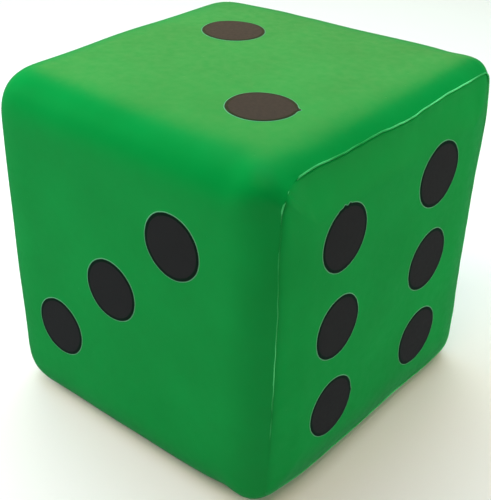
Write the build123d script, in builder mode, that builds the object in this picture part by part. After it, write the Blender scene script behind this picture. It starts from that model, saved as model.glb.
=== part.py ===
from build123d import *
from math import cos, radians, sin
import os

# Giant foam yard die: a moulded soft foam cube with a sprayed skin and painted pips.
#
# Z is up. The origin is the centre of the face that the die rests on. The three pips face
# -Y (the front), the six pips face +X, the two pips face up and the five pips face down.
# The mould was a deep tub for five faces and a shallow lid for the six face, so one parting
# line runs round the rounded edges beside that face.

# Driving dimensions, millimetres and degrees
SIZE_X = 196.0  # across the faces with six pips and one pip
SIZE_Y = 202.0  # across the faces with three pips and four pips
SIZE_Z = 200.0  # height
EDGE_RADIUS = 26.0  # rounding along every edge
SKIN = 1.5  # thickness of the closed, rubbery skin
PIP_FILM = 0.4  # thickness of one pip's paint, which lies flush with the skin
PARTING_ANGLE = 50.0  # how far round the edge, from the tub's side, the mould parted
BEAD_WIDTH = 1.0  # width of the flash left in the parting line
BEAD_PROUD = 0.5  # height of that flash above the skin
BEAD_ROUND = 0.3  # softening of the flash's two outer edges

# Pip diameters: the holes in the hand-cut stencils differ a little
PIP_DIAMETER = 34.4
PIP_DIAMETER_TWO_BACK = 35.2
PIP_DIAMETER_TWO_FRONT = 33.8
PIP_DIAMETER_SIX_FRONT = 35.0  # the column beside the three face
PIP_DIAMETER_SIX_BACK = 36.2  # the column beside the four face

# Pip layout: how far the pips stand from the middle of their print
PITCH = 42.0  # the four and five faces, both ways
TWO_ACROSS = 40.2
TWO_ALONG = 37.5
THREE_ACROSS = 43.7
THREE_UP = 43.2
SIX_COLUMN = 42.1  # half distance between the two columns of three
SIX_ROW_FRONT = 50.8  # distance between neighbours in a column
SIX_ROW_BACK = 51.8

# Each print is placed by hand, so it sits a little off the middle of its face
CENTRED = (0.0, 0.0)
SHIFT_TWO = (3.2, -6.2)
SHIFT_THREE = (-4.8, 3.5)
SHIFT_SIX = (-4.2, 0.2)

HALF_X = SIZE_X / 2
HALF_Y = SIZE_Y / 2
MIDDLE_Z = SIZE_Z / 2
PARTING_X = HALF_X - EDGE_RADIUS * (1 - sin(radians(PARTING_ANGLE)))


def rounded_block(inset):
    """The die's outer form, or the same form set in by an even distance on every side."""
    with BuildPart(Plane.XY.offset(MIDDLE_Z)) as block:
        Box(SIZE_X - 2 * inset, SIZE_Y - 2 * inset, SIZE_Z - 2 * inset)
        fillet(block.edges(), EDGE_RADIUS - inset)
    return block.part


def printed(shift, places, diameter):
    """Pips of a shifted print, each as its place on the face and its diameter."""
    return [(shift[0] + across, shift[1] + up, diameter) for across, up in places]


def falling_pair(across, up):
    """Two places on the diagonal that falls to the right."""
    return [(-across, up), (across, -up)]


def rising_pair(across, up):
    """Two places on the diagonal that rises to the right."""
    return [(-across, -up), (across, up)]


def column_of_three(across, row):
    """Three places one above the other, from the top down."""
    return [(across, row), (across, 0.0), (across, -row)]


MIDDLE = [(0.0, 0.0)]
FOUR_CORNERS = rising_pair(PITCH, PITCH) + falling_pair(PITCH, PITCH)
TWO_BACK, TWO_FRONT = falling_pair(TWO_ACROSS, TWO_ALONG)

# Each face's plane, with its normal out of the die, and its pips. Opposite faces add up to
# seven.
FACES = {
    "one": (
        Plane((-HALF_X, 0, MIDDLE_Z), x_dir=(0, -1, 0), z_dir=(-1, 0, 0)),
        printed(CENTRED, MIDDLE, PIP_DIAMETER),
    ),
    "two": (
        Plane((0, 0, SIZE_Z), x_dir=(1, 0, 0), z_dir=(0, 0, 1)),
        printed(SHIFT_TWO, [TWO_BACK], PIP_DIAMETER_TWO_BACK)
        + printed(SHIFT_TWO, [TWO_FRONT], PIP_DIAMETER_TWO_FRONT),
    ),
    "three": (
        Plane((0, -HALF_Y, MIDDLE_Z), x_dir=(1, 0, 0), z_dir=(0, -1, 0)),
        printed(SHIFT_THREE, rising_pair(THREE_ACROSS, THREE_UP) + MIDDLE, PIP_DIAMETER),
    ),
    "four": (
        Plane((0, HALF_Y, MIDDLE_Z), x_dir=(-1, 0, 0), z_dir=(0, 1, 0)),
        printed(CENTRED, FOUR_CORNERS, PIP_DIAMETER),
    ),
    "five": (
        Plane((0, 0, 0), x_dir=(1, 0, 0), z_dir=(0, 0, -1)),
        printed(CENTRED, FOUR_CORNERS + MIDDLE, PIP_DIAMETER),
    ),
    "six": (
        Plane((HALF_X, 0, MIDDLE_Z), x_dir=(0, 1, 0), z_dir=(1, 0, 0)),
        printed(SHIFT_SIX, column_of_three(-SIX_COLUMN, SIX_ROW_FRONT), PIP_DIAMETER_SIX_FRONT)
        + printed(SHIFT_SIX, column_of_three(SIX_COLUMN, SIX_ROW_BACK), PIP_DIAMETER_SIX_BACK),
    ),
}

outer_form = rounded_block(0.0)
core_form = rounded_block(SKIN)

# The soft foam that fills the die
with BuildPart() as foam_core:
    add(core_form)

# The skin, whole, with a shallow seat under every pip
with BuildPart() as whole_skin:
    add(outer_form)
    add(core_form, mode=Mode.SUBTRACT)
    for face_plane, face_pips in FACES.values():
        with BuildSketch(face_plane):
            for across, up, diameter in face_pips:
                with Locations((across, up)):
                    Circle(diameter / 2)
        extrude(amount=-PIP_FILM, mode=Mode.SUBTRACT)

# The part of the skin that formed against the tub of the mould: five faces
with BuildPart() as skin_body:
    add(whole_skin.part)
    split(bisect_by=Plane.YZ.offset(PARTING_X - BEAD_WIDTH / 2), keep=Keep.BOTTOM)

# The part that formed against the lid of the mould: the six face
with BuildPart() as skin_lid:
    add(whole_skin.part)
    split(bisect_by=Plane.YZ.offset(PARTING_X + BEAD_WIDTH / 2), keep=Keep.TOP)

# The outline of the die where the mould parted: a rounded rectangle
outline_radius = EDGE_RADIUS * cos(radians(PARTING_ANGLE))
outline_y = SIZE_Y - 2 * (EDGE_RADIUS - outline_radius)
outline_z = SIZE_Z - 2 * (EDGE_RADIUS - outline_radius)

# The thin bead of flash in the parting line, down to the foam and a little proud of the skin
with BuildPart() as parting_bead:
    with BuildSketch(Plane.YZ.offset(PARTING_X)):
        with Locations((0, MIDDLE_Z)):
            RectangleRounded(
                outline_y + 2 * BEAD_PROUD,
                outline_z + 2 * BEAD_PROUD,
                outline_radius + BEAD_PROUD,
            )
    extrude(amount=BEAD_WIDTH / 2, both=True)
    fillet(parting_bead.faces().filter_by(Axis.X).edges(), BEAD_ROUND)
    add(core_form, mode=Mode.SUBTRACT)

# One thin disc of black paint for each pip, all the way round the die
pips = {}
for face_name, (face_plane, face_pips) in FACES.items():
    for number, (across, up, diameter) in enumerate(face_pips, start=1):
        with BuildPart() as pip:
            with BuildSketch(face_plane):
                with Locations((across, up)):
                    Circle(diameter / 2)
            extrude(amount=-PIP_FILM)
        pips[f"pip_{face_name}_{number}"] = pip

pieces = {
    "foam_core": foam_core,
    "skin_body": skin_body,
    "skin_lid": skin_lid,
    "parting_bead": parting_bead,
    **pips,
}

os.makedirs("parts", exist_ok=True)
for name, piece in pieces.items():
    piece.part.label = name
    export_step(piece.part, f"parts/{name}.step")
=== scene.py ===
"""Giant foam yard die: a moulded foam cube with a satin skin, its parting line and painted pips."""

import math

import bmesh
import bpy
import numpy as np
from bpy.props import FloatProperty, FloatVectorProperty, IntProperty, PointerProperty
from mathutils import Matrix, Vector


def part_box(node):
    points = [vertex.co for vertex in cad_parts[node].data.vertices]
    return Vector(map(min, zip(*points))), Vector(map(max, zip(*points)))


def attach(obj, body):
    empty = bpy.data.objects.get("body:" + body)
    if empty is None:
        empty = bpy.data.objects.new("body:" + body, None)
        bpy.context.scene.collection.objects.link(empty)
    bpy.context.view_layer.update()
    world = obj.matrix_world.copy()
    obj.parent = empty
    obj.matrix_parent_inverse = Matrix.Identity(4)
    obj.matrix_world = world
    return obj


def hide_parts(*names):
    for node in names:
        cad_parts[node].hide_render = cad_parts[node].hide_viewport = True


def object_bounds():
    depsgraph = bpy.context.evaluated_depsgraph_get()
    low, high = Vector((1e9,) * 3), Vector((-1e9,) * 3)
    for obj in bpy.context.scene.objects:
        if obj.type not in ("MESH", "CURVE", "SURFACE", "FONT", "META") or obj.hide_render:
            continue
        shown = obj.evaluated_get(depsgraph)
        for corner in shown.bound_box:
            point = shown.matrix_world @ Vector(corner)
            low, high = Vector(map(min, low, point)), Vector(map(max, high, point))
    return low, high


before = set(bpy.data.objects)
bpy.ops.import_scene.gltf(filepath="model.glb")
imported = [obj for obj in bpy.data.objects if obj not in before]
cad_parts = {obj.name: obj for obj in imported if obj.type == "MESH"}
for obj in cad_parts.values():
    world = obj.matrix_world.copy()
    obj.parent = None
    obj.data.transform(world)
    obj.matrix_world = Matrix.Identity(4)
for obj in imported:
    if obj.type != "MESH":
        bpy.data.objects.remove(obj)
CAD_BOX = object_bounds()

bl_info = {
    "name": "Giant foam yard die",
    "version": (1, 0, 0),
    "blender": (4, 5, 0),
    "location": "3D View > Sidebar > Yard Die",
    "description": "Makes a soft moulded foam die with painted pips, and a plain stage for it",
    "category": "Object",
}

MM = 0.001
BODY = "root"
CENTRE = np.array([(low + high) / 2 for low, high in zip(*CAD_BOX)])
HALF = np.array([(high - low) / 2 for low, high in zip(*CAD_BOX)])


def linear(hex_colour):
    """The linear red, green and blue of an sRGB hex colour."""
    channels = [int(hex_colour[i : i + 2], 16) / 255 for i in (1, 3, 5)]
    return [c / 12.92 if c <= 0.04045 else ((c + 0.055) / 1.055) ** 2.4 for c in channels]


class DieSizes(bpy.types.PropertyGroup):
    """Sizes of the die's soft shape and its small details."""

    edge_round: FloatProperty(
        name="Edge rounding",
        description="How far from each edge the rounding starts",
        default=31 * MM,
        unit="LENGTH",
    )
    edge_fullness: FloatProperty(
        name="Edge fullness",
        description="2 is a plain arc, and more is a fuller edge that starts to turn more gently",
        default=2.85,
    )
    parting_angle: FloatProperty(
        name="Parting angle",
        description="How far round the edge, from the tub's side, the mould parted",
        default=math.radians(47.5),
        subtype="ANGLE",
    )
    parting_corner: FloatProperty(
        name="Parting corner",
        description="Corner radius of the outline where the mould parted",
        default=11 * MM,
        unit="LENGTH",
    )
    lid_run: FloatProperty(
        name="Lid run",
        description="How far in from the parting line the lid's face takes to become flat",
        default=26 * MM,
        unit="LENGTH",
    )
    lid_step: FloatProperty(
        name="Lid step",
        description="How far the lid's edge sits under the tub's at the parting line",
        default=0.45 * MM,
        unit="LENGTH",
    )
    skin: FloatProperty(
        name="Skin",
        description="Thickness of the closed skin over the foam",
        default=1.5 * MM,
        unit="LENGTH",
    )
    flash_height: FloatProperty(
        name="Flash height",
        description="How far the flash stands out of the parting line where it is tallest",
        default=0.35 * MM,
        unit="LENGTH",
    )
    flare: FloatProperty(
        name="Flare",
        description="How far the tub's skin rises into the flash",
        default=0.6 * MM,
        unit="LENGTH",
    )
    flash_width: FloatProperty(
        name="Flash width",
        description="Thickness of the flash at its root",
        default=0.8 * MM,
        unit="LENGTH",
    )
    paint: FloatProperty(
        name="Paint",
        description="How far a pip's paint stands above the skin",
        default=0.16 * MM,
        unit="LENGTH",
    )
    lip: FloatProperty(
        name="Pip lip",
        description="Width of the pressed lip of skin round each pip",
        default=0.75 * MM,
        unit="LENGTH",
    )
    side_steps: IntProperty(
        name="Side steps",
        description="Divisions of the flat run between two rounded edges",
        default=72,
    )
    round_steps: IntProperty(
        name="Rounding steps",
        description="Divisions of one rounded edge",
        default=18,
    )


class DieColours(bpy.types.PropertyGroup):
    """Colours of the die's skin, flash, paint and foam, and of the floor."""

    skin: FloatVectorProperty(
        name="Skin", description="Moulded skin", default=linear("#008E3C"), subtype="COLOR"
    )
    skin_dark: FloatVectorProperty(
        name="Skin, darker",
        description="Cloudier, darker patches of the skin",
        default=linear("#008838"),
        subtype="COLOR",
    )
    # Paler than the skin: a painted highlight along the flash's ridge
    flash: FloatVectorProperty(
        name="Flash", description="Thin flash", default=linear("#58D888"), subtype="COLOR"
    )
    paint: FloatVectorProperty(
        name="Paint", description="Black paint", default=linear("#212223"), subtype="COLOR"
    )
    paint_edge: FloatVectorProperty(
        name="Paint edge",
        description="Paint so thin that the skin shows through",
        default=linear("#001F0F"),
        subtype="COLOR",
    )
    lip: FloatVectorProperty(
        name="Lip", description="Lip round a pip", default=linear("#569E74"), subtype="COLOR"
    )
    foam: FloatVectorProperty(
        name="Foam", description="Foam inside", default=linear("#58B27A"), subtype="COLOR"
    )
    floor: FloatVectorProperty(
        name="Floor", description="Floor", default=linear("#F2F2F0"), subtype="COLOR"
    )


def sizes():
    """The sizes that this scene is made with."""
    return bpy.context.scene.yard_die_sizes


def colours():
    """The colours that this scene is made with."""
    return bpy.context.scene.yard_die_colours


# The soft shape ---------------------------------------------------------------------------


def fuller_arc(angle):
    """A point on the edge's rounding, of radius one: a little squarer than a circle."""
    across, along = np.cos(angle), np.sin(angle)
    power = sizes().edge_fullness
    reach = (np.abs(across) ** power + np.abs(along) ** power) ** (1 / power)
    return across / reach, along / reach


QUARTERS = [(1, 1), (-1, 1), (-1, -1), (1, -1)]  # signs of y and z at the four corners

# How strongly the rings crowd together towards the parting line, on either side of it
TUB_CROWDING = 2.2
LID_CROWDING = 1.6


def smooth_step(share):
    """0 to 1, levelling out at both ends."""
    return share**2 * (3 - 2 * share)


def outline(half_y, half_z, radius, steps, corner_steps):
    """Points of a rounded rectangle, anticlockwise seen from +X, with evenly divided sides."""
    corners = []
    for turn, (sign_y, sign_z) in enumerate(QUARTERS):
        angle = turn * math.pi / 2 + np.linspace(0, math.pi / 2, corner_steps + 1)
        across, along = fuller_arc(angle)
        arc = np.column_stack([sign_y * half_y + radius * across, sign_z * half_z + radius * along])
        corners.append(arc)
    points = []
    for turn, arc in enumerate(corners):
        start, end = arc[-1], corners[(turn + 1) % 4][0]
        share = np.linspace(0, 1, steps + 1)[1:-1, None]
        points += [arc, start * (1 - share) + end * share]
    return np.concatenate(points)


def parting_level():
    """Where the mould parted: x, and the outline's radius there, both from the box's centre."""
    along, across = fuller_arc(sizes().parting_angle)
    x = HALF[0] - sizes().edge_round * (1 - across)
    return x, sizes().edge_round * along


def tub_levels():
    """The rings of the tub's part of the skin, as x, half y, half z and corner radius."""
    rounding = sizes().edge_round
    inner = HALF - rounding
    levels = []
    for angle in np.linspace(math.pi / 2, 0, sizes().round_steps + 1):
        radius, depth = fuller_arc(angle)
        levels.append((-inner[0] - rounding * depth, inner[1], inner[2], rounding * radius))
    for x in np.linspace(-inner[0], inner[0], sizes().side_steps + 1)[1:-1]:
        levels.append((x, inner[1], inner[2], rounding))
    for share in 1 - np.linspace(1, 0, sizes().round_steps) ** TUB_CROWDING:
        radius, depth = fuller_arc(sizes().parting_angle * share)
        sharpened = smooth_step(share)
        corner = rounding * radius * (1 - sharpened) + sizes().parting_corner * sharpened
        reach = rounding * radius - corner
        levels.append((inner[0] + rounding * depth, inner[1] + reach, inner[2] + reach, corner))
    return levels


def lid_level(share):
    """One ring of the lid's part of the skin: share runs from the parting line to the flat."""
    level, radius = parting_level()
    inner = HALF - sizes().edge_round
    corner = sizes().parting_corner * (1 - share)
    reach = radius - sizes().lid_run * share - corner
    x = HALF[0] - (HALF[0] - level) * (1 - share) ** 2
    return x, inner[1] + reach, inner[2] + reach, corner


def lid_levels():
    """The rings of the lid's part of the skin, from the parting line to the flat."""
    shares = np.linspace(0, 1, sizes().round_steps + 1) ** LID_CROWDING
    return [lid_level(share) for share in shares]


# How much fuller each corner is than the even rounding, or rounder where it is negative: a
# push along the diagonal, keyed by the corner's signs of x, y and z. Soft foam corners are
# never alike.
CORNER_PUSH = {
    (-1, -1, -1): -1.2 * MM,
    (-1, -1, 1): -1.5 * MM,
    (-1, 1, -1): -2.4 * MM,
    (-1, 1, 1): -2.4 * MM,
    (1, -1, -1): -1.4 * MM,
    (1, -1, 1): -1.0 * MM,
    (1, 1, -1): 1.7 * MM,
    (1, 1, 1): 4.0 * MM,
}
CORNER_REACH = 34 * MM  # how far round the corner the push spreads
CORNER_PLACE = 0.93  # how far out towards the true corner the push is centred

# The same for the very tips of the lid's corners, which are blunter
TIP_PUSH = {
    (1, -1, -1): -3.2 * MM,
    (1, 1, -1): -1.4 * MM,
    (1, 1, 1): -3.7 * MM,
    (1, -1, 1): -2.0 * MM,
}
TIP_REACH = 18 * MM  # how far round the tip that push spreads

# Where else the foam came out uneven: the place as a share of the half sizes, the reach, and
# the push in x, y and z
UNEVEN = [
    ((-0.93, 0.93, 0.93), 34 * MM, (-5.0 * MM, -4.2 * MM, 0)),  # the far corner leans left
    ((-0.93, -0.93, -0.93), 34 * MM, (0, 0, -2.9 * MM)),  # the low left corner is squashed
    ((-1, -1, 0), 45 * MM, (0.2 * MM, 0.2 * MM, 0)),
    ((0, -1, -1), 40 * MM, (0, -0.3 * MM, -0.3 * MM)),
    ((-1, 0, 1), 40 * MM, (-0.4 * MM, 0, 0.4 * MM)),
    ((1, 1, 0), 45 * MM, (0.3 * MM, 0.3 * MM, 0)),
]

# Slow waves of the soft foam: direction of travel, wavelength and phase
WAVES = [
    ((0.8, 0.5, 0.33), 97 * MM, 0.4),
    ((-0.45, 0.83, 0.3), 71 * MM, 1.9),
    ((0.35, -0.4, 0.85), 58 * MM, 3.1),
    ((0.6, 0.6, -0.53), 43 * MM, 5.0),
]
WAVE_HEIGHT = 0.11 * MM  # of each wave

# Small dents: place in the row frame, reach and depth
DENTS = [
    ((-81 * MM, -101 * MM, 168 * MM), 1.4 * MM, 0.5 * MM),
    ((-30 * MM, 88 * MM, 199 * MM), 6 * MM, 0.25 * MM),
    ((60 * MM, 99 * MM, 60 * MM), 5 * MM, 0.3 * MM),
    ((-97 * MM, 40 * MM, 150 * MM), 5 * MM, 0.35 * MM),
]


def softened(points):
    """The even shape with its uneven corners, slow waves and dents, back in the row frame."""
    points = points.copy()
    waves = sum(
        np.sin(points @ np.array(way) * 2 * math.pi / length + phase)
        for way, length, phase in WAVES
    )
    outward = points / np.linalg.norm(points, axis=1)[:, None]
    points += outward * (waves * WAVE_HEIGHT)[:, None]
    even = points.copy()
    for diagonal_pushes, reach in ((CORNER_PUSH, CORNER_REACH), (TIP_PUSH, TIP_REACH)):
        for signs, push in diagonal_pushes.items():
            diagonal = np.array(signs) / math.sqrt(3)
            corner = HALF * np.array(signs) * CORNER_PLACE
            points += push * nearness(even, corner, reach) * diagonal
    for place, reach, push in UNEVEN:
        points += nearness(even, HALF * np.array(place), reach) * np.array(push)
    for place, reach, depth in DENTS:
        points -= depth * nearness(even, np.array(place) - CENTRE, reach) * outward
    points += CENTRE
    points[:, 2] = np.maximum(points[:, 2], CAD_BOX[0][2])  # it rests flat on the floor
    return points


def nearness(points, place, reach):
    """1 at a place, falling smoothly to nothing beyond its reach, as a column."""
    away = points - place
    return np.exp(-(away**2).sum(axis=1) / (2 * reach**2))[:, None]


def mesh_object(name, points, faces, materials, smooth=True):
    """A new object with its doubled points welded and its faces turned outwards."""
    mesh = bpy.data.meshes.new(name)
    mesh.from_pydata([tuple(p) for p in points], [], faces)
    work = bmesh.new()
    work.from_mesh(mesh)
    bmesh.ops.remove_doubles(work, verts=work.verts, dist=1e-6)
    bmesh.ops.recalc_face_normals(work, faces=work.faces)
    work.to_mesh(mesh)
    work.free()
    mesh.polygons.foreach_set("use_smooth", [smooth] * len(mesh.polygons))
    for material in materials:
        mesh.materials.append(material)
    piece = bpy.data.objects.new(name, mesh)
    bpy.context.scene.collection.objects.link(piece)
    return piece


def band(first, second, count):
    """Faces that join two rings, given the numbers of the rings' first points."""
    faces = []
    for i in range(count):
        j = (i + 1) % count
        faces.append((first + i, first + j, second + j, second + i))
    return faces


def loft(levels):
    """Points and faces of rings joined one to the next, in the box's own centred axes."""
    rings = []
    for x, half_y, half_z, radius in levels:
        flat = outline(half_y, half_z, radius, sizes().side_steps, sizes().round_steps)
        rings.append(np.column_stack([np.full(len(flat), x), flat]))
    count = len(rings[0])
    faces = []
    for ring in range(len(rings) - 1):
        faces += band(ring * count, (ring + 1) * count, count)
    return np.concatenate(rings), faces


def cap(x, half_y, half_z, first):
    """A flat grid that closes a loft whose last ring has no rounding left at its corners."""
    steps = sizes().side_steps
    share = np.linspace(-1, 1, steps + 1)
    y, z = np.meshgrid(share * half_y, share * half_z, indexing="ij")
    points = np.column_stack([np.full(y.size, x), y.ravel(), z.ravel()])
    faces = []
    for i in range(steps):
        for j in range(steps):
            corner = first + i * (steps + 1) + j
            faces.append((corner, corner + 1, corner + steps + 2, corner + steps + 1))
    return points, faces


def closed_end(levels, end):
    """A loft with a cap on the ring at that end."""
    points, faces = loft(levels)
    x, half_y, half_z, _ = levels[end]
    cap_points, cap_faces = cap(x, half_y, half_z, len(points))
    return np.concatenate([points, cap_points]), faces + cap_faces


# Round the parting line, in degrees about X from +Y towards +Z: how tall the flash is left,
# as a share of its full height. It is tall over the top edge, missing at the corner beside
# the two and three faces but for one speck, and worn thin down the edge below that.
FLASH_STOPS = [
    (0, 0.35),
    (40, 0.5),
    (47, 0.8),
    (62, 1.0),
    (68, 0.8),
    (71, 0.45),
    (75, 0.85),
    (100, 1.0),
    (128, 1.0),
    (129.5, 0.9),
    (130.5, 0.0),
    (133.4, 0.0),
    (134.0, 0.4),
    (134.6, 0.0),
    (136.2, 0.0),
    (136.8, 0.8),
    (138.2, 0.5),
    (139.2, 0.0),
    (146, 0.1),
    (149, 0.3),
    (153, 0.25),
    (160, 0.2),
    (170, 0.22),
    (176, 0.27),
    (186, 0.32),
    (192, 0.2),
    (198, 0.1),
    (203, 0.2),
    (207, 0.1),
    (220, 0.05),
    (240, 0.4),
    (300, 0.45),
    (330, 0.3),
    (360, 0.35),
]

# How deep the groove is that the lid's edge leaves just beside the flash, in the same degrees
GROOVE_STOPS = [
    (0, 0.2 * MM),
    (45, 0.3 * MM),
    (60, 0.75 * MM),
    (70, 0.5 * MM),
    (78, 0.8 * MM),
    (128, 0.9 * MM),
    (131.5, 0.0),
    (135.8, 0.0),
    (136.6, 1.3 * MM),
    (139.6, 1.3 * MM),
    (141, 0.3 * MM),
    (190, 0.35 * MM),
    (215, 0.1 * MM),
    (240, 0.3 * MM),
    (360, 0.2 * MM),
]
GROOVE_REACH = 0.8 * MM  # how far in from the parting line the groove runs out

# The line wanders round the edge towards the lid by these amounts: place and spread in
# degrees, and distance
LINE_STRAYS = [
    (135.5, 2.4, 2.2 * MM),
    (86, 8.0, 1.15 * MM),
    (121, 9.0, 0.6 * MM),
    (126, 6.0, -0.95 * MM),
    (61, 3.0, -0.15 * MM),
    (46, 4.0, -0.4 * MM),
    (142, 4.0, 1.2 * MM),
    (158, 12.0, 1.5 * MM),
    (186, 16.0, 1.6 * MM),
    (212, 9.0, 0.7 * MM),
    (300, 14.0, 0.4 * MM),
]

# The line also trembles: waves per turn about X, size and phase
LINE_TREMBLES = [(31, 0.06 * MM, 0.7), (53, 0.05 * MM, 2.0)]


def turn_about_x(points):
    """Degrees about X from +Y towards +Z, from 0 to 360, of points in the centred axes."""
    return np.degrees(np.arctan2(points[:, 2], points[:, 1])) % 360


def flash_share(turn):
    """How much of the flash is left at that turn, from 0 to 1."""
    stops, heights = zip(*FLASH_STOPS)
    return np.interp(turn, stops, heights)


def stray(turn):
    """How far the parting line strays along x at that turn."""
    total = 0
    for waves, size, phase in LINE_TREMBLES:
        total = total + size * np.sin(np.radians(turn) * waves + phase)
    for place, spread, size in LINE_STRAYS:
        total = total + size * np.exp(-((turn - place) ** 2) / (2 * spread**2))
    return total


FLARE_REACH = 0.95 * MM  # over what distance along x the tub's skin flares into the flash
FLASH_LEAN = math.radians(20)  # from straight out of the outline, towards the lid
STRAY_FADE = 7 * MM  # the skin beside the line follows it, and forgets it over this distance


def follow_line(points, from_line):
    """Slides the skin near the parting line round the edge, so that it meets the line."""
    weight = np.exp(-(from_line**2) / (2 * STRAY_FADE**2))
    slide = stray(turn_about_x(points)) * weight
    points = points.copy()
    points[:, 0] += slide
    points[:, 1:] -= outward_round_x(points) * slide[:, None]
    return points


def outward_round_x(points):
    """The direction, across X, that points out of the rounded outline at each point."""
    beyond = np.maximum(np.abs(points[:, 1:]) - (HALF - sizes().edge_round)[1:], 0)
    beyond *= np.sign(points[:, 1:])
    return beyond / np.maximum(np.linalg.norm(beyond, axis=1), MM)[:, None]


def flare(points, from_line):
    """How far the tub's skin rises into the flash, in x and across it."""
    rise = sizes().flare * flash_share(turn_about_x(points)) * np.exp(-from_line / FLARE_REACH)
    across = outward_round_x(points) * (rise * math.cos(FLASH_LEAN))[:, None]
    return np.column_stack([rise * math.sin(FLASH_LEAN), across])


def tub_points_and_faces():
    """The outer surface of the tub's part of the skin."""
    points, faces = closed_end(tub_levels(), 0)
    level, _ = parting_level()
    from_line = level - points[:, 0]
    points = follow_line(points, from_line) + flare(points, from_line)
    return softened(points), faces


def flat_rim(from_line):
    """How much lower the lid's face lies near its top rim, which came out almost flat."""
    level, _ = parting_level()
    share = np.clip(from_line / sizes().lid_run, 0, 1)
    return (HALF[0] - level) * (1 - (1 - share) ** 2 - smooth_step(share))


def lid_from_line(points):
    """How far in from the parting line points of the lid's skin lie."""
    level, _ = parting_level()
    share = 1 - np.sqrt(np.clip((HALF[0] - points[:, 0]) / (HALF[0] - level), 0, 1))
    return share * sizes().lid_run


LID_STEP_REACH = 3 * MM  # how far in from the parting line the lid's step runs out
LID_ROUND_ON = 0.43  # how much steeper the tub's rounding is than the lid's, at the line
STEP_GAIN = 1.6  # how soon the lid's step reaches its full depth as the flash gets taller
ROUND_ON_FADE = 2.5  # how soon the rounding stops running on as the flash gets taller
FLAT_RIM_FADE = 3  # how soon the flat top rim gives way to the rounding at its two corners


def lid_points_and_faces(sunk=True):
    """The outer surface of the lid's part of the skin, or its plain form if it is not sunk."""
    points, faces = closed_end(lid_levels(), -1)
    from_line = lid_from_line(points)
    if sunk:
        share = flash_share(turn_about_x(points))
        near = np.clip(1 - from_line / LID_STEP_REACH, 0, 1)
        sink = near * sizes().lid_step * np.minimum(1, STEP_GAIN * share)
        points[:, 1:] -= outward_round_x(points) * sink[:, None]
        # Where there is no flash, the tub's rounding runs on into the lid
        rise = LID_ROUND_ON * from_line * np.exp(-from_line / LID_STEP_REACH)
        points[:, 0] += rise * np.clip(1 - ROUND_ON_FADE * share, 0, 1)
        groove = np.interp(turn_about_x(points), *zip(*GROOVE_STOPS))
        points[:, 0] -= groove * np.exp(-((from_line / GROOVE_REACH) ** 2))
        upward = np.clip(outward_round_x(points)[:, 1], 0, 1)
        points[:, 0] -= flat_rim(from_line) * upward**FLAT_RIM_FADE
    return softened(follow_line(points, from_line)), faces


# Materials --------------------------------------------------------------------------------

# Real sizes of the patterns, in millimetres
CLOUD = 45
ORANGE_PEEL = 5
GRAIN = 0.9  # the real grain, about 0.2 mm, is too fine to show, so it is drawn coarser
PINHOLE_SPACING = 9
DUST_SPECK = 2.2
FOAM_CELL = 1.2
BOARD_FIBRE = 4

# Shades of one colour, as a share of it
LIP_SHADE = 0.85  # the darker tone of a pip's lip
PAINT_SHADES = 0.85, 1.25  # clean paint and dusty paint
CELL_BOTTOM_PAINTED_SHADE = 0.6  # painted shade in the bottom of a foam cell


def add_node(tree, kind, settings=None, links=None):
    """A new node, with its settings and inputs set, and its links made from (node, output)."""
    node = tree.nodes.new(kind)
    for name, value in (settings or {}).items():
        if name in node.inputs and not hasattr(type(node), name):
            node.inputs[name].default_value = value
        else:
            setattr(node, name, value)
    for name, (source, output) in (links or {}).items():
        tree.links.new(source.outputs[output], node.inputs[name])
    return node


def new_material(name):
    """A material with an empty node tree, and that tree."""
    material = bpy.data.materials.new(name)
    material.use_nodes = True
    material.node_tree.nodes.clear()
    return material, material.node_tree


def per_metre(millimetres):
    """The texture scale that makes one feature that many millimetres wide."""
    return 1 / (millimetres * MM)


def ramp(tree, source, output, low, high, from_value, to_value):
    """Spreads a texture's values between two numbers."""
    return add_node(
        tree,
        "ShaderNodeMapRange",
        {"From Min": low, "From Max": high, "To Min": from_value, "To Max": to_value},
        {"Value": (source, output)},
    )


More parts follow.
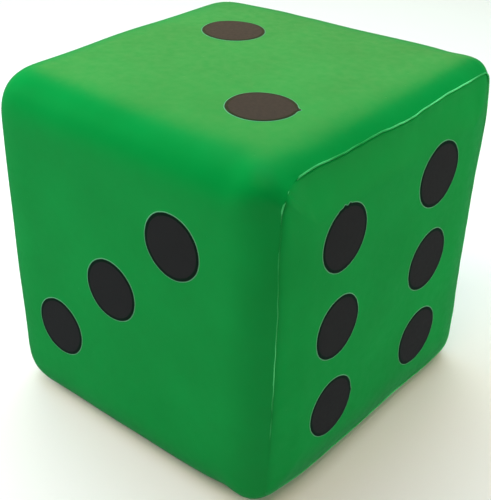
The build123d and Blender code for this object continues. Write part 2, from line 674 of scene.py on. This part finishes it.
def moulded_polyurethane_skin(name, main, second, roughness):
    """Moulded polyurethane skin, satin: closed by the mould's wall, with a soft orange peel.

    It gives a weak, broad sheen, a faint cloudiness in the colour and a few pinholes.
    """
    material, tree = new_material(name)
    place = add_node(tree, "ShaderNodeTexCoord")
    clouds = add_node(
        tree,
        "ShaderNodeTexNoise",
        {"Scale": per_metre(CLOUD), "Detail": 3.0, "Roughness": 0.55},
        {"Vector": (place, "Object")},
    )
    cloud_share = ramp(tree, clouds, "Fac", 0.35, 0.65, 0.0, 1.0)
    colour = add_node(
        tree,
        "ShaderNodeMix",
        {"data_type": "RGBA"},
        {"Factor": (cloud_share, "Result")},
    )
    colour.inputs["A"].default_value = (*main, 1)
    colour.inputs["B"].default_value = (*second, 1)
    peel = add_node(
        tree,
        "ShaderNodeTexNoise",
        {"Scale": per_metre(ORANGE_PEEL), "Detail": 2.0},
        {"Vector": (place, "Object")},
    )
    grain = add_node(
        tree,
        "ShaderNodeTexNoise",
        {"Scale": per_metre(GRAIN), "Detail": 2.0},
        {"Vector": (place, "Object")},
    )
    pinholes = add_node(
        tree,
        "ShaderNodeTexVoronoi",
        {"Scale": per_metre(PINHOLE_SPACING), "Randomness": 1.0},
        {"Vector": (place, "Object")},
    )
    pits = ramp(tree, pinholes, "Distance", 0.02, 0.07, 0.0, 1.0)
    gloss = ramp(tree, peel, "Fac", 0.3, 0.7, roughness - 0.04, roughness + 0.05)
    peel_bump = add_node(
        tree,
        "ShaderNodeBump",
        {"Strength": 0.35, "Distance": 0.12 * MM},
        {"Height": (peel, "Fac")},
    )
    grain_bump = add_node(
        tree,
        "ShaderNodeBump",
        {"Strength": 0.22, "Distance": 0.05 * MM},
        {"Height": (grain, "Fac"), "Normal": (peel_bump, "Normal")},
    )
    pit_bump = add_node(
        tree,
        "ShaderNodeBump",
        {"Strength": 0.5, "Distance": 0.15 * MM},
        {"Height": (pits, "Result"), "Normal": (grain_bump, "Normal")},
    )
    shader = add_node(
        tree,
        "ShaderNodeBsdfPrincipled",
        {"IOR": 1.45, "Specular IOR Level": 0.12},
        {
            "Base Color": (colour, "Result"),
            "Roughness": (gloss, "Result"),
            "Normal": (pit_bump, "Normal"),
        },
    )
    add_node(tree, "ShaderNodeOutputMaterial", links={"Surface": (shader, "BSDF")})
    return material


def flexible_black_paint(name, colour):
    """Flexible paint, matt black: sprayed through a stencil.

    It gives a soft, dusty black that greys a little where it faces the sky.
    """
    material, tree = new_material(name)
    place = add_node(tree, "ShaderNodeTexCoord")
    dust = add_node(
        tree,
        "ShaderNodeTexNoise",
        {"Scale": per_metre(DUST_SPECK), "Detail": 4.0, "Roughness": 0.7},
        {"Vector": (place, "Object")},
    )
    dust_share = ramp(tree, dust, "Fac", 0.3, 0.75, 0.0, 1.0)
    mixed = add_node(
        tree,
        "ShaderNodeMix",
        {"data_type": "RGBA"},
        {"Factor": (dust_share, "Result")},
    )
    for socket, shade in zip("AB", PAINT_SHADES):
        mixed.inputs[socket].default_value = (*[c * shade for c in colour], 1)
    gloss = ramp(tree, dust, "Fac", 0.3, 0.7, 0.5, 0.62)
    bump = add_node(
        tree,
        "ShaderNodeBump",
        {"Strength": 0.3, "Distance": 0.05 * MM},
        {"Height": (dust, "Fac")},
    )
    shader = add_node(
        tree,
        "ShaderNodeBsdfPrincipled",
        {"IOR": 1.5, "Specular IOR Level": 0.25},
        {
            "Base Color": (mixed, "Result"),
            "Roughness": (gloss, "Result"),
            "Normal": (bump, "Normal"),
        },
    )
    add_node(tree, "ShaderNodeOutputMaterial", links={"Surface": (shader, "BSDF")})
    return material


def open_cell_foam(name, colour):
    """Open-cell polyurethane foam, cut: it gives a matt, pale green sponge of small cells, with
    painted shade in their bottoms.
    """
    material, tree = new_material(name)
    place = add_node(tree, "ShaderNodeTexCoord")
    cells = add_node(
        tree,
        "ShaderNodeTexVoronoi",
        {"Scale": per_metre(FOAM_CELL)},
        {"Vector": (place, "Object")},
    )
    # Darker towards each cell's middle: painted shade in the cell bottoms
    shade = ramp(tree, cells, "Distance", 0.0, 0.8, 0.0, 1.0)
    mixed = add_node(
        tree,
        "ShaderNodeMix",
        {"data_type": "RGBA"},
        {"Factor": (shade, "Result")},
    )
    mixed.inputs["A"].default_value = (*[c * CELL_BOTTOM_PAINTED_SHADE for c in colour], 1)
    mixed.inputs["B"].default_value = (*colour, 1)
    bump = add_node(
        tree,
        "ShaderNodeBump",
        {"Strength": 0.6, "Distance": 0.5 * MM},
        {"Height": (cells, "Distance")},
    )
    shader = add_node(
        tree,
        "ShaderNodeBsdfPrincipled",
        {"IOR": 1.5, "Roughness": 0.9},
        {"Base Color": (mixed, "Result"), "Normal": (bump, "Normal")},
    )
    add_node(tree, "ShaderNodeOutputMaterial", links={"Surface": (shader, "BSDF")})
    return material


def shared_material(name, maker, *values):
    """The material of that name, made the first time that it is asked for."""
    return bpy.data.materials.get(name) or maker(name, *values)


def skin_material():
    """Satin skin: it gives the die its even, slightly cloudy green."""
    tones = tuple(colours().skin), tuple(colours().skin_dark)
    return shared_material("moulded_polyurethane_skin", moulded_polyurethane_skin, *tones, 0.38)


def flash_highlight_material():
    """Thin flash, dull, paler than the skin: a painted highlight for the light that the thin ridge
    catches.
    """
    tones = tuple(colours().flash), tuple(colours().skin)
    return shared_material("polyurethane_flash", moulded_polyurethane_skin, *tones, 0.5)


def lip_material():
    """Skin pressed up by the stencil, dull: it gives each pip a fine, pale ring."""
    tones = tuple(colours().lip), tuple(c * LIP_SHADE for c in colours().lip)
    return shared_material("pressed_skin_lip", moulded_polyurethane_skin, *tones, 0.55)


def paint_material():
    """Matt black paint, at its full thickness."""
    return shared_material("flexible_black_paint", flexible_black_paint, tuple(colours().paint))


def thin_paint_material():
    """The same paint where it runs out at a pip's edge: it gives a crisp, greener outline."""
    tone = tuple(colours().paint_edge)
    return shared_material("flexible_black_paint_edge", flexible_black_paint, tone)


def foam_material():
    """The foam inside the skin."""
    return shared_material("open_cell_foam", open_cell_foam, tuple(colours().foam))


# Pieces -----------------------------------------------------------------------------------


def settle(piece, slot, *nodes):
    """A piece rides on the die's one body, in place of its CAD nodes."""
    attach(piece, BODY)
    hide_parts(*nodes)


def shell(piece, thickness):
    """Gives a skin its thickness, inwards."""
    solid = piece.modifiers.new("Skin thickness", "SOLIDIFY")
    solid.thickness = thickness
    solid.offset = -1
    return piece


class YARDDIE_OT_tub_skin(bpy.types.Operator):
    """Makes the skin that formed against the tub of the mould: five faces"""

    bl_idname = "yard_die.tub_skin"
    bl_label = "Tub skin"

    def execute(self, context):
        points, faces = tub_points_and_faces()
        piece = mesh_object("skin_body", points, faces, [skin_material()])
        settle(shell(piece, sizes().skin), "green_skin", "skin_body")
        return {"FINISHED"}


class YARDDIE_OT_lid_skin(bpy.types.Operator):
    """Makes the skin that formed against the lid of the mould: the six face"""

    bl_idname = "yard_die.lid_skin"
    bl_label = "Lid skin"

    def execute(self, context):
        points, faces = lid_points_and_faces()
        piece = mesh_object("skin_lid", points, faces, [skin_material()])
        settle(shell(piece, sizes().skin), "green_skin", "skin_lid")
        return {"FINISHED"}


FLASH_SIDE_STEPS = 160  # divisions of the flash along one side of the die
FLASH_CORNER_STEPS = 24  # and round one of its corners
FLASH_SECTION = 8  # points round the flash's cross-section
FLASH_ROOT = 0.7 * MM  # how deep its root sits in the parting line

# The flash's ragged top: radians of each wave per degree round the line, share of the flash's
# height, and phase
FLASH_RAGS = [(1.9, 0.16, 0.0), (4.7, 0.1, 1.0)]

WORN_GAIN = 3  # the flash is worn where less than one third of its height is left
WORN_SINK = 1.2  # how far under the skin it sinks where it is gone, as a share of its height
WORN_THIN = 0.7  # how much thinner it is there


class YARDDIE_OT_parting_flash(bpy.types.Operator):
    """Makes the thin, uneven bead of flash that stands in the parting line"""

    bl_idname = "yard_die.parting_flash"
    bl_label = "Parting flash"

    def execute(self, context):
        level, radius = parting_level()
        inner = HALF - sizes().edge_round
        corner = sizes().parting_corner
        reach = radius - corner
        steps = FLASH_SIDE_STEPS, FLASH_CORNER_STEPS
        path = outline(inner[1] + reach, inner[2] + reach, corner, *steps)
        ahead = np.roll(path, -1, axis=0) - np.roll(path, 1, axis=0)
        ahead /= np.linalg.norm(ahead, axis=1)[:, None]
        outward = np.column_stack([ahead[:, 1], -ahead[:, 0]])
        turn = turn_about_x(np.column_stack([np.zeros(len(path)), path]))
        ragged = 1
        for rate, size, phase in FLASH_RAGS:
            ragged = ragged + size * np.sin(turn * rate + phase)
        share = flash_share(turn)
        worn = np.clip(1 - WORN_GAIN * share, 0, 1)  # 1 where no flash is left
        height = sizes().flash_height * (share * ragged - WORN_SINK * worn)
        lean = math.cos(FLASH_LEAN), math.sin(FLASH_LEAN)
        rings = []
        for step in range(FLASH_SECTION):
            angle = 2 * math.pi * step / FLASH_SECTION
            above = np.where(math.sin(angle) > 0, height, FLASH_ROOT) * math.sin(angle)
            rise = above - sizes().flash_height * worn
            side = sizes().flash_width / 2 * math.cos(angle) * (1 - WORN_THIN * worn)
            flat = path + outward * (rise * lean[0] - side * lean[1])[:, None]
            rings.append(np.column_stack([level + side * lean[0] + rise * lean[1], flat]))
        points = np.concatenate(rings)
        on_line = np.zeros(len(points))
        points = softened(follow_line(points, on_line) + flare(points, on_line))
        count = len(path)
        faces = []
        for step in range(FLASH_SECTION):
            faces += band(step * count, (step + 1) % FLASH_SECTION * count, count)
        piece = mesh_object("parting_bead", points, faces, [flash_highlight_material()])
        settle(piece, "green_flash", "parting_bead")
        return {"FINISHED"}


FOAM_INSET = 1.2  # how far inside the skin's outer surface, in thicknesses of the skin


class YARDDIE_OT_foam_core(bpy.types.Operator):
    """Makes the soft foam inside the skin, which shows only if the skin is hidden"""

    bl_idname = "yard_die.foam_core"
    bl_label = "Foam core"

    def execute(self, context):
        tub, tub_faces = tub_points_and_faces()
        lid, lid_faces = lid_points_and_faces(sunk=False)
        faces = tub_faces + [tuple(i + len(tub) for i in face) for face in lid_faces]
        points = np.concatenate([tub, lid])
        points = CENTRE + (points - CENTRE) * (1 - FOAM_INSET * sizes().skin / HALF)
        piece = mesh_object("foam_core", points, faces, [foam_material()])
        settle(piece, "soft_foam", "foam_core")
        return {"FINISHED"}


# Where each face lies: the number of its outward axis, and the side of the die it is on
FACES = {
    "one": (0, -1),
    "two": (2, 1),
    "three": (1, -1),
    "four": (1, 1),
    "five": (2, -1),
    "six": (0, 1),
}

# Faults in the stencil's edge: pip, direction in degrees on its face, spread in degrees and
# how far the paint ran or stopped short
PAINT_FAULTS = {
    "pip_two_2": [(30, 3.0, 1.6 * MM), (33, 24, 0.7 * MM), (200, 20, -0.3 * MM)],
    "pip_six_1": [
        (97, 2.2, 0.7 * MM),
        (84, 1.8, 0.6 * MM),
        (110, 2.5, 0.35 * MM),
        (91, 2, -0.3 * MM),
    ],
    "pip_six_3": [(2, 3.0, 0.5 * MM)],
    "pip_four_2": [(140, 3.0, 0.8 * MM)],
    "pip_one_1": [(300, 4.0, 0.6 * MM)],
}

# A pip's rings: out over the film, over the lip round it, and back underneath
PIP_TURNS = 144  # divisions round a pip
FILM_RINGS = (0.25, 0.5, 0.7, 0.82, 0.91, 1.0)  # shares of the way out to the paint's edge
FILM_EDGE_WIDTH = 0.12 * MM  # of the slope where the paint ends
FILM_EDGE_HEIGHT = 0.55  # as a share of the paint's height
LIP_TOP_PLACE = 0.45  # as a share of the lip's width
LIP_TOP_HEIGHT = 0.9  # as a share of the paint's height
LIP_FOOT = -0.05 * MM  # the lip's outer foot, just under the skin
PIP_UNDERSIDE = -0.3 * MM  # the bottom of a pip, inside the skin
UNDERSIDE_RING = 0.5  # share of the way out to the paint's edge
FACE_DOWN_LIFT = 0.02 * MM  # paint that the die rests on is pressed flat
THIN_RINGS = 2  # the outermost rings of the film, where the paint is thin


def surface_height(axis, sign, flat):
    """How far out the even shape's face is at points on it, as the axis' own coordinate."""
    height = np.full(len(flat), HALF[axis])
    if (axis, sign) == FACES["six"]:
        level, radius = parting_level()
        edge = HALF - sizes().edge_round + radius
        inside = np.min((edge[1:] - np.abs(flat)) / sizes().lid_run, axis=1)
        share = np.clip(inside, 0, 1)
        height = HALF[0] - (HALF[0] - level) * (1 - share) ** 2
        height -= flat_rim(edge[2] - flat[:, 1])
    return sign * height


def on_face(axis, sign, flat, lift):
    """Points on a face of the soft die, from their two coordinates on it, lifted off it."""
    others = [i for i in range(3) if i != axis]
    points = np.zeros((len(flat), 3))
    points[:, others] = flat
    points[:, axis] = surface_height(axis, sign, flat)
    points = softened(points)
    points[:, axis] += sign * lift
    return points


EDGE_WANDER = (0.1, 0.06, 0.03)  # how oval, lobed and finely uneven a pip is, in millimetres


def pip_edge(name, turns):
    """How far past the even circle the paint reaches, all round one pip."""
    seed = sum(ord(letter) for letter in name)
    phases = np.random.default_rng(seed).uniform(0, 2 * math.pi, 4)
    oval, lobes, fine = (size * MM for size in EDGE_WANDER)
    reach = oval * np.sin(2 * turns + phases[0]) + lobes * np.sin(5 * turns + phases[1])
    reach = reach + fine * np.sin(17 * turns + phases[2]) * np.sin(3 * turns + phases[3])
    for direction, spread, size in PAINT_FAULTS.get(name, []):
        off = (np.degrees(turns) - direction + 180) % 360 - 180
        reach = reach + size * np.exp(-(off**2) / (2 * spread**2))
    return reach


def make_pip(name):
    """One pip: a film of black paint, with the lip of skin that the stencil pressed up."""
    low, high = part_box(name)
    middle = (np.array(low) + np.array(high)) / 2 - CENTRE
    face = name.split("_")[1]
    axis, sign = FACES[face]
    others = [i for i in range(3) if i != axis]
    radius = (high[others[0]] - low[others[0]]) / 2
    turns = np.linspace(0, 2 * math.pi, PIP_TURNS, endpoint=False)
    around = np.column_stack([np.cos(turns), np.sin(turns)])
    rim = radius + pip_edge(name, turns)
    lift = sizes().paint if face != "five" else FACE_DOWN_LIFT
    # Each ring is how far out it lies, and how high: first the film, then the lip round it,
    # then the underside that closes the pip
    rings = [(rim * share, lift) for share in FILM_RINGS]
    rings.append((rim + FILM_EDGE_WIDTH, lift * FILM_EDGE_HEIGHT))
    rings.append((rim + sizes().lip * LIP_TOP_PLACE, lift * LIP_TOP_HEIGHT))
    rings.append((rim + sizes().lip, LIP_FOOT))
    rings.append((rim + sizes().lip, PIP_UNDERSIDE))
    rings.append((rim * UNDERSIDE_RING, PIP_UNDERSIDE))
    centre = middle[others][None, :]
    points = [on_face(axis, sign, centre, lift)]
    for reach, height in rings:
        flat = middle[others] + around * np.asarray(reach)[:, None]
        points.append(on_face(axis, sign, flat, height))
    points.append(on_face(axis, sign, centre, PIP_UNDERSIDE))
    faces = [(0, 1 + i, 1 + (i + 1) % PIP_TURNS) for i in range(PIP_TURNS)]
    for ring in range(len(rings) - 1):
        faces += band(1 + ring * PIP_TURNS, 1 + (ring + 1) * PIP_TURNS, PIP_TURNS)
    last = 1 + (len(rings) - 1) * PIP_TURNS
    bottom = last + PIP_TURNS
    faces += [(bottom, last + (i + 1) % PIP_TURNS, last + i) for i in range(PIP_TURNS)]
    materials = [paint_material(), thin_paint_material(), lip_material()]
    thin, lip = 1, 2  # places of the last two materials
    piece = mesh_object(name, np.concatenate(points), faces, materials)
    for polygon in piece.data.polygons:
        ring = (min(polygon.vertices) - 1) // PIP_TURNS
        if ring >= len(FILM_RINGS):
            polygon.material_index = lip
        elif ring >= len(FILM_RINGS) - THIN_RINGS:
            polygon.material_index = thin
    settle(piece, "black_pip_paint", name)


class YARDDIE_OT_painted_pips(bpy.types.Operator):
    """Makes every painted pip, on all six faces"""

    bl_idname = "yard_die.painted_pips"
    bl_label = "Painted pips"

    def execute(self, context):
        for name in sorted(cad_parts):
            if name.startswith("pip_"):
                make_pip(name)
        return {"FINISHED"}


# Stage ------------------------------------------------------------------------------------

# The view, as it stands to the die: degrees round from the front and up, metres and degrees
VIEW_AZIMUTH = 39.24
VIEW_ELEVATION = 31.38
VIEW_ROLL = 1.35
VIEW_DISTANCE = 0.5466
VIEW_TARGET = (5.0 * MM, -5.4 * MM, -12.0 * MM)  # from the die's centre
VIEW_LENS = 67.9  # millimetres, for a 36 mm sensor
FLOOR_DROP = 0.2 * MM  # keeps the floor clear of the die's flat base
FLOOR_SIDE = 8.0  # metres

# Soft lights: name, place and size in metres, power in watts, colour, and whether it shows in
# reflections
LIGHTS = [
    ("overhead", (-0.5, 0.4, 1.5), (1.5, 1.5), 13.5, (0.35, 0.9, 1.0), False),
    ("top", (0.0, 0.0, 1.2), (1.2, 1.2), 7, (1.0, 0.9, 1.0), False),
    ("backdrop", (-1.0, 1.3, 1.15), (1.8, 1.2), 11.5, (1.0, 0.62, 0.28), True),
    ("left", (-0.7, -0.5, 0.65), (0.5, 0.5), 6.6, (1.0, 1.0, 1.0), False),
    ("right", (0.62, 0.5, 0.15), (0.4, 0.4), 3.8, (1.0, 0.84, 0.64), False),
    ("front_top", (0.4, -0.9, 1.3), (0.9, 0.9), 7, (1.0, 0.6, 0.3), False),
]
WORLD_COLOUR = (0.75, 0.93, 1.0)
WORLD_STRENGTH = 0.19


def pale_floor_material(name, colour):
    """Painted board, matt: it gives a plain, pale floor with no sheen."""
    material, tree = new_material(name)
    place = add_node(tree, "ShaderNodeTexCoord")
    fibre = add_node(
        tree,
        "ShaderNodeTexNoise",
        {"Scale": per_metre(BOARD_FIBRE)},
        {"Vector": (place, "Object")},
    )
    rough = ramp(tree, fibre, "Fac", 0.3, 0.7, 0.9, 1.0)
    shader = add_node(
        tree,
        "ShaderNodeBsdfPrincipled",
        {"Base Color": (*colour, 1), "Specular IOR Level": 0.1},
        {"Roughness": (rough, "Result")},
    )
    add_node(tree, "ShaderNodeOutputMaterial", links={"Surface": (shader, "BSDF")})
    return material


def add_area_light(name, place, size, power, colour, reflected):
    """A soft rectangular light that faces the die, and may be kept out of reflections."""
    data = bpy.data.lights.new(name, "AREA")
    data.shape = "RECTANGLE"
    data.size, data.size_y = size
    data.energy = power
    data.color = colour
    lamp = bpy.data.objects.new(name, data)
    lamp.location = place
    towards = Vector(CENTRE) - Vector(place)
    lamp.rotation_euler = towards.to_track_quat("-Z", "Y").to_euler()
    lamp.visible_glossy = reflected
    bpy.context.scene.collection.objects.link(lamp)


def add_camera():
    """The camera, at the view's place, with no shift and no depth of field."""
    azimuth, elevation = math.radians(VIEW_AZIMUTH), math.radians(VIEW_ELEVATION)
    level = math.cos(elevation)
    back = Vector((math.sin(azimuth) * level, -math.cos(azimuth) * level, math.sin(elevation)))
    right = Vector((math.cos(azimuth), math.sin(azimuth), 0))
    up = back.cross(right)
    roll = Matrix.Rotation(math.radians(VIEW_ROLL), 3, back)
    data = bpy.data.cameras.new("camera")
    data.lens = VIEW_LENS
    data.clip_start = 0.01
    camera = bpy.data.objects.new("camera", data)
    turned = Matrix((roll @ right, roll @ up, back)).transposed()
    camera.matrix_world = turned.to_4x4()
    camera.location = Vector(CENTRE) + Vector(VIEW_TARGET) + back * VIEW_DISTANCE
    bpy.context.scene.collection.objects.link(camera)
    bpy.context.scene.camera = camera


def add_world():
    """A faint, even, cool light from all round."""
    world = bpy.data.worlds.new("studio")
    world.use_nodes = True
    tree = world.node_tree
    tree.nodes.clear()
    settings = {"Color": (*WORLD_COLOUR, 1), "Strength": WORLD_STRENGTH}
    sky = add_node(tree, "ShaderNodeBackground", settings)
    add_node(tree, "ShaderNodeOutputWorld", links={"Surface": (sky, "Background")})
    bpy.context.scene.world = world


class YARDDIE_OT_stage(bpy.types.Operator):
    """Makes the floor, the lights and the camera"""

    bl_idname = "yard_die.stage"
    bl_label = "Stage"

    def execute(self, context):
        side = FLOOR_SIDE / 2
        corners = [(-side, -side), (side, -side), (side, side), (-side, side)]
        floor = mesh_object(
            "floor",
            [(x, y, -FLOOR_DROP) for x, y in corners],
            [(0, 1, 2, 3)],
            [shared_material("matt_pale_board", pale_floor_material, tuple(colours().floor))],
            smooth=False,
        )
        floor.visible_glossy = False
        for light in LIGHTS:
            add_area_light(*light)
        add_world()
        add_camera()
        context.scene.view_settings.view_transform = "Standard"
        return {"FINISHED"}


class YARDDIE_PT_panel(bpy.types.Panel):
    """Lists the die's pieces, sizes and colours"""

    bl_idname = "YARDDIE_PT_panel"
    bl_label = "Yard Die"
    bl_space_type = "VIEW_3D"
    bl_region_type = "UI"
    bl_category = "Yard Die"

    def draw(self, context):
        for operator in OPERATORS:
            self.layout.operator(operator.bl_idname)
        for group in (context.scene.yard_die_sizes, context.scene.yard_die_colours):
            box = self.layout.box()
            for name in group.__annotations__:
                box.prop(group, name)


OPERATORS = (
    YARDDIE_OT_foam_core,
    YARDDIE_OT_tub_skin,
    YARDDIE_OT_lid_skin,
    YARDDIE_OT_parting_flash,
    YARDDIE_OT_painted_pips,
    YARDDIE_OT_stage,
)
CLASSES = (DieSizes, DieColours, *OPERATORS, YARDDIE_PT_panel)


def register():
    """Registers the add-on's classes and gives each scene its sizes and colours."""
    for kind in CLASSES:
        bpy.utils.register_class(kind)
    bpy.types.Scene.yard_die_sizes = PointerProperty(type=DieSizes)
    bpy.types.Scene.yard_die_colours = PointerProperty(type=DieColours)


def unregister():
    """Undoes what register does."""
    del bpy.types.Scene.yard_die_colours
    del bpy.types.Scene.yard_die_sizes
    for kind in reversed(CLASSES):
        bpy.utils.unregister_class(kind)


def main():
    """Makes the whole scene."""
    register()
    bpy.ops.yard_die.foam_core()
    bpy.ops.yard_die.tub_skin()
    bpy.ops.yard_die.lid_skin()
    bpy.ops.yard_die.parting_flash()
    bpy.ops.yard_die.painted_pips()
    bpy.ops.yard_die.stage()
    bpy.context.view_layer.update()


if __name__ == "__main__":
    main()
